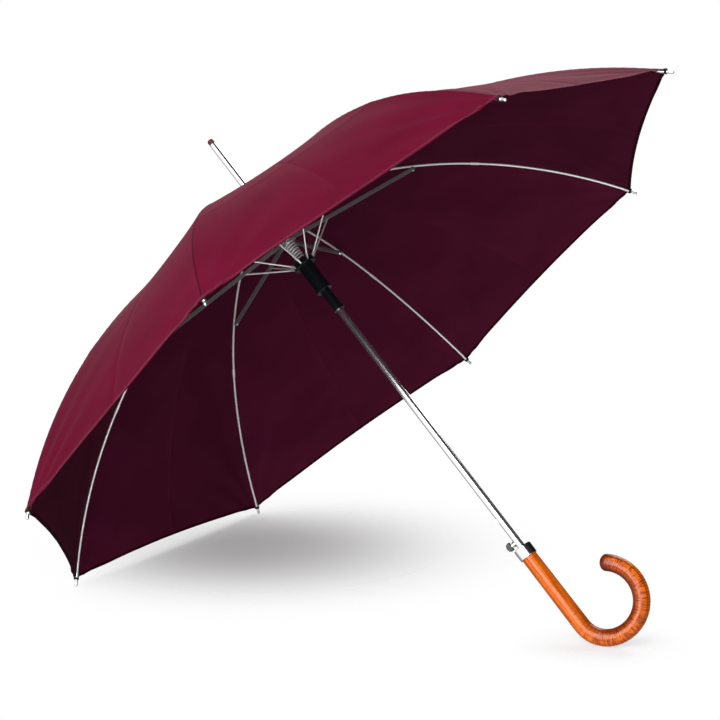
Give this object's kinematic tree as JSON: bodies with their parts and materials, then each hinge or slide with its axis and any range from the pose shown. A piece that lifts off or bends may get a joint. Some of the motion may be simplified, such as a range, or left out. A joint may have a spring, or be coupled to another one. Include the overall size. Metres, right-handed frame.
{
  "type": "stick umbrella",
  "caption": "Open automatic stick umbrella: domed fabric canopy on folding ribs, sliding runner with spring, chrome shaft with release button, and a curved wooden crook handle.",
  "frame": {"origin": "on the shaft's axis, in the middle of the straight length of the grip", "axes": "+Z along the shaft towards the ferrule, +X the way the handle's hook curves"},
  "size_m": [1.0546, 1.0546, 0.8696],
  "materials": {
    "shaft_chrome": "polished",
    "bright_steel": "bright drawn wire and pressed sheet",
    "dark_steel": "dark plated channel",
    "black_plastic": "smooth, half gloss",
    "canopy_fabric": "plain weave, satin sheen",
    "ferrule_cap": "moulded, half gloss",
    "handle_wood": "clear lacquer"
  },
  "bodies": {
    "shaft": {"shaft": "shaft_chrome", "top_notch": "bright_steel", "apex_disc": "canopy_fabric", "rosette": "bright_steel", "ferrule": "shaft_chrome", "ferrule_cap": "ferrule_cap", "collar": "shaft_chrome", "handle": "handle_wood", "button_guide": "bright_steel"},
    "runner": {"runner_crown": "black_plastic", "spring_housing": "black_plastic", "runner_sleeve": "black_plastic", "spring": "bright_steel"},
    "hub": {"spring_hub": "dark_steel"},
    "button": {"button_leaf": "bright_steel", "button_tab": "black_plastic"},
    "stretcher_1": {"stretcher_1": "dark_steel"},
    "rib_1": {"rib_1": "bright_steel", "tip_1": "bright_steel", "canopy_1": "canopy_fabric"},
    "link_1": {"link_1": "bright_steel"},
    "stretcher_2": {"stretcher_2": "dark_steel"},
    "rib_2": {"rib_2": "bright_steel", "tip_2": "bright_steel", "canopy_2": "canopy_fabric"},
    "link_2": {"link_2": "bright_steel"},
    "stretcher_3": {"stretcher_3": "dark_steel"},
    "rib_3": {"rib_3": "bright_steel", "tip_3": "bright_steel", "canopy_3": "canopy_fabric"},
    "link_3": {"link_3": "bright_steel"},
    "stretcher_4": {"stretcher_4": "dark_steel"},
    "rib_4": {"rib_4": "bright_steel", "tip_4": "bright_steel", "canopy_4": "canopy_fabric"},
    "link_4": {"link_4": "bright_steel"},
    "stretcher_5": {"stretcher_5": "dark_steel"},
    "rib_5": {"rib_5": "bright_steel", "tip_5": "bright_steel", "canopy_5": "canopy_fabric"},
    "link_5": {"link_5": "bright_steel"},
    "stretcher_6": {"stretcher_6": "dark_steel"},
    "rib_6": {"rib_6": "bright_steel", "tip_6": "bright_steel", "canopy_6": "canopy_fabric"},
    "link_6": {"link_6": "bright_steel"},
    "stretcher_7": {"stretcher_7": "dark_steel"},
    "rib_7": {"rib_7": "bright_steel", "tip_7": "bright_steel", "canopy_7": "canopy_fabric"},
    "link_7": {"link_7": "bright_steel"},
    "stretcher_8": {"stretcher_8": "dark_steel"},
    "rib_8": {"rib_8": "bright_steel", "tip_8": "bright_steel", "canopy_8": "canopy_fabric"},
    "link_8": {"link_8": "bright_steel"}
  },
  "joints": [
    {"name": "runner_slide", "type": "slide", "parent": "shaft", "child": "runner", "axis": [0, 0, 1], "range_m": [-0.36169, 0], "deforming": ["spring"]},
    {"name": "hub_slide", "type": "slide", "parent": "shaft", "child": "hub", "axis": [0, 0, 1], "range_m": [-0.3903, 0.0002]},
    {"name": "button_press", "type": "slide", "parent": "shaft", "child": "button", "axis": [1, 0, 0], "range_m": [0, 0.0025], "stiffness_N_per_m": 400, "springref_m": -0.0008},
    {"name": "stretcher_1_hinge", "type": "hinge", "parent": "hub", "child": "stretcher_1", "pos_m": [0.0105, 0, 0.58], "axis": [0, 1, 0], "range_deg": [-71.57, 0.2]},
    {"name": "rib_1_hinge", "type": "hinge", "parent": "stretcher_1", "child": "rib_1", "pos_m": [0.2384, 0, 0.59306], "axis": [0, 1, 0], "range_deg": [-0.2, 136.57], "deforming": ["canopy_1"]},
    {"name": "link_1_hinge", "type": "hinge", "parent": "stretcher_1", "child": "link_1", "pos_m": [0.0744, 0, 0.58366], "axis": [0, 1, 0], "range_deg": [-0.2, 27.83]},
    {"name": "stretcher_2_hinge", "type": "hinge", "parent": "hub", "child": "stretcher_2", "pos_m": [0.00743, 0.00743, 0.58], "axis": [-0.7071, 0.7071, 0], "range_deg": [-71.57, 0.2]},
    {"name": "rib_2_hinge", "type": "hinge", "parent": "stretcher_2", "child": "rib_2", "pos_m": [0.16857, 0.16857, 0.59306], "axis": [-0.7071, 0.7071, 0], "range_deg": [-0.2, 136.57], "deforming": ["canopy_2"]},
    {"name": "link_2_hinge", "type": "hinge", "parent": "stretcher_2", "child": "link_2", "pos_m": [0.0526, 0.0526, 0.58366], "axis": [-0.7071, 0.7071, 0], "range_deg": [-0.2, 27.83]},
    {"name": "stretcher_3_hinge", "type": "hinge", "parent": "hub", "child": "stretcher_3", "pos_m": [0, 0.0105, 0.58], "axis": [-1, 0, 0], "range_deg": [-71.57, 0.2]},
    {"name": "rib_3_hinge", "type": "hinge", "parent": "stretcher_3", "child": "rib_3", "pos_m": [0, 0.2384, 0.59306], "axis": [-1, 0, 0], "range_deg": [-0.2, 136.57], "deforming": ["canopy_3"]},
    {"name": "link_3_hinge", "type": "hinge", "parent": "stretcher_3", "child": "link_3", "pos_m": [0, 0.0744, 0.58366], "axis": [-1, 0, 0], "range_deg": [-0.2, 27.83]},
    {"name": "stretcher_4_hinge", "type": "hinge", "parent": "hub", "child": "stretcher_4", "pos_m": [-0.00743, 0.00743, 0.58], "axis": [-0.7071, -0.7071, 0], "range_deg": [-71.57, 0.2]},
    {"name": "rib_4_hinge", "type": "hinge", "parent": "stretcher_4", "child": "rib_4", "pos_m": [-0.16857, 0.16857, 0.59306], "axis": [-0.7071, -0.7071, 0], "range_deg": [-0.2, 136.57], "deforming": ["canopy_4"]},
    {"name": "link_4_hinge", "type": "hinge", "parent": "stretcher_4", "child": "link_4", "pos_m": [-0.0526, 0.0526, 0.58366], "axis": [-0.7071, -0.7071, 0], "range_deg": [-0.2, 27.83]},
    {"name": "stretcher_5_hinge", "type": "hinge", "parent": "hub", "child": "stretcher_5", "pos_m": [-0.0105, 0, 0.58], "axis": [0, -1, 0], "range_deg": [-71.57, 0.2]},
    {"name": "rib_5_hinge", "type": "hinge", "parent": "stretcher_5", "child": "rib_5", "pos_m": [-0.2384, 0, 0.59306], "axis": [0, -1, 0], "range_deg": [-0.2, 136.57], "deforming": ["canopy_5"]},
    {"name": "link_5_hinge", "type": "hinge", "parent": "stretcher_5", "child": "link_5", "pos_m": [-0.0744, 0, 0.58366], "axis": [0, -1, 0], "range_deg": [-0.2, 27.83]},
    {"name": "stretcher_6_hinge", "type": "hinge", "parent": "hub", "child": "stretcher_6", "pos_m": [-0.00743, -0.00743, 0.58], "axis": [0.7071, -0.7071, 0], "range_deg": [-71.57, 0.2]},
    {"name": "rib_6_hinge", "type": "hinge", "parent": "stretcher_6", "child": "rib_6", "pos_m": [-0.16857, -0.16857, 0.59306], "axis": [0.7071, -0.7071, 0], "range_deg": [-0.2, 136.57], "deforming": ["canopy_6"]},
    {"name": "link_6_hinge", "type": "hinge", "parent": "stretcher_6", "child": "link_6", "pos_m": [-0.0526, -0.0526, 0.58366], "axis": [0.7071, -0.7071, 0], "range_deg": [-0.2, 27.83]},
    {"name": "stretcher_7_hinge", "type": "hinge", "parent": "hub", "child": "stretcher_7", "pos_m": [0, -0.0105, 0.58], "axis": [1, 0, 0], "range_deg": [-71.57, 0.2]},
    {"name": "rib_7_hinge", "type": "hinge", "parent": "stretcher_7", "child": "rib_7", "pos_m": [0, -0.2384, 0.59306], "axis": [1, 0, 0], "range_deg": [-0.2, 136.57], "deforming": ["canopy_7"]},
    {"name": "link_7_hinge", "type": "hinge", "parent": "stretcher_7", "child": "link_7", "pos_m": [0, -0.0744, 0.58366], "axis": [1, 0, 0], "range_deg": [-0.2, 27.83]},
    {"name": "stretcher_8_hinge", "type": "hinge", "parent": "hub", "child": "stretcher_8", "pos_m": [0.00743, -0.00743, 0.58], "axis": [0.7071, 0.7071, 0], "range_deg": [-71.57, 0.2]},
    {"name": "rib_8_hinge", "type": "hinge", "parent": "stretcher_8", "child": "rib_8", "pos_m": [0.16857, -0.16857, 0.59306], "axis": [0.7071, 0.7071, 0], "range_deg": [-0.2, 136.57], "deforming": ["canopy_8"]},
    {"name": "link_8_hinge", "type": "hinge", "parent": "stretcher_8", "child": "link_8", "pos_m": [0.0526, -0.0526, 0.58366], "axis": [0.7071, 0.7071, 0], "range_deg": [-0.2, 27.83]}
  ],
  "couplings": [
    {"joint": "hub_slide", "follows": "runner_slide", "ratio": 1.0786},
    {"joint": "stretcher_1_hinge", "follows": "runner_slide", "rad_per_m": 3.4442},
    {"joint": "rib_1_hinge", "follows": "runner_slide", "rad_per_m": -6.5807},
    {"joint": "link_1_hinge", "follows": "runner_slide", "rad_per_m": -1.3331},
    {"joint": "stretcher_2_hinge", "follows": "runner_slide", "rad_per_m": 3.4442},
    {"joint": "rib_2_hinge", "follows": "runner_slide", "rad_per_m": -6.5807},
    {"joint": "link_2_hinge", "follows": "runner_slide", "rad_per_m": -1.3331},
    {"joint": "stretcher_3_hinge", "follows": "runner_slide", "rad_per_m": 3.4442},
    {"joint": "rib_3_hinge", "follows": "runner_slide", "rad_per_m": -6.5807},
    {"joint": "link_3_hinge", "follows": "runner_slide", "rad_per_m": -1.3331},
    {"joint": "stretcher_4_hinge", "follows": "runner_slide", "rad_per_m": 3.4442},
    {"joint": "rib_4_hinge", "follows": "runner_slide", "rad_per_m": -6.5807},
    {"joint": "link_4_hinge", "follows": "runner_slide", "rad_per_m": -1.3331},
    {"joint": "stretcher_5_hinge", "follows": "runner_slide", "rad_per_m": 3.4442},
    {"joint": "rib_5_hinge", "follows": "runner_slide", "rad_per_m": -6.5807},
    {"joint": "link_5_hinge", "follows": "runner_slide", "rad_per_m": -1.3331},
    {"joint": "stretcher_6_hinge", "follows": "runner_slide", "rad_per_m": 3.4442},
    {"joint": "rib_6_hinge", "follows": "runner_slide", "rad_per_m": -6.5807},
    {"joint": "link_6_hinge", "follows": "runner_slide", "rad_per_m": -1.3331},
    {"joint": "stretcher_7_hinge", "follows": "runner_slide", "rad_per_m": 3.4442},
    {"joint": "rib_7_hinge", "follows": "runner_slide", "rad_per_m": -6.5807},
    {"joint": "link_7_hinge", "follows": "runner_slide", "rad_per_m": -1.3331},
    {"joint": "stretcher_8_hinge", "follows": "runner_slide", "rad_per_m": 3.4442},
    {"joint": "rib_8_hinge", "follows": "runner_slide", "rad_per_m": -6.5807},
    {"joint": "link_8_hinge", "follows": "runner_slide", "rad_per_m": -1.3331}
  ]
}
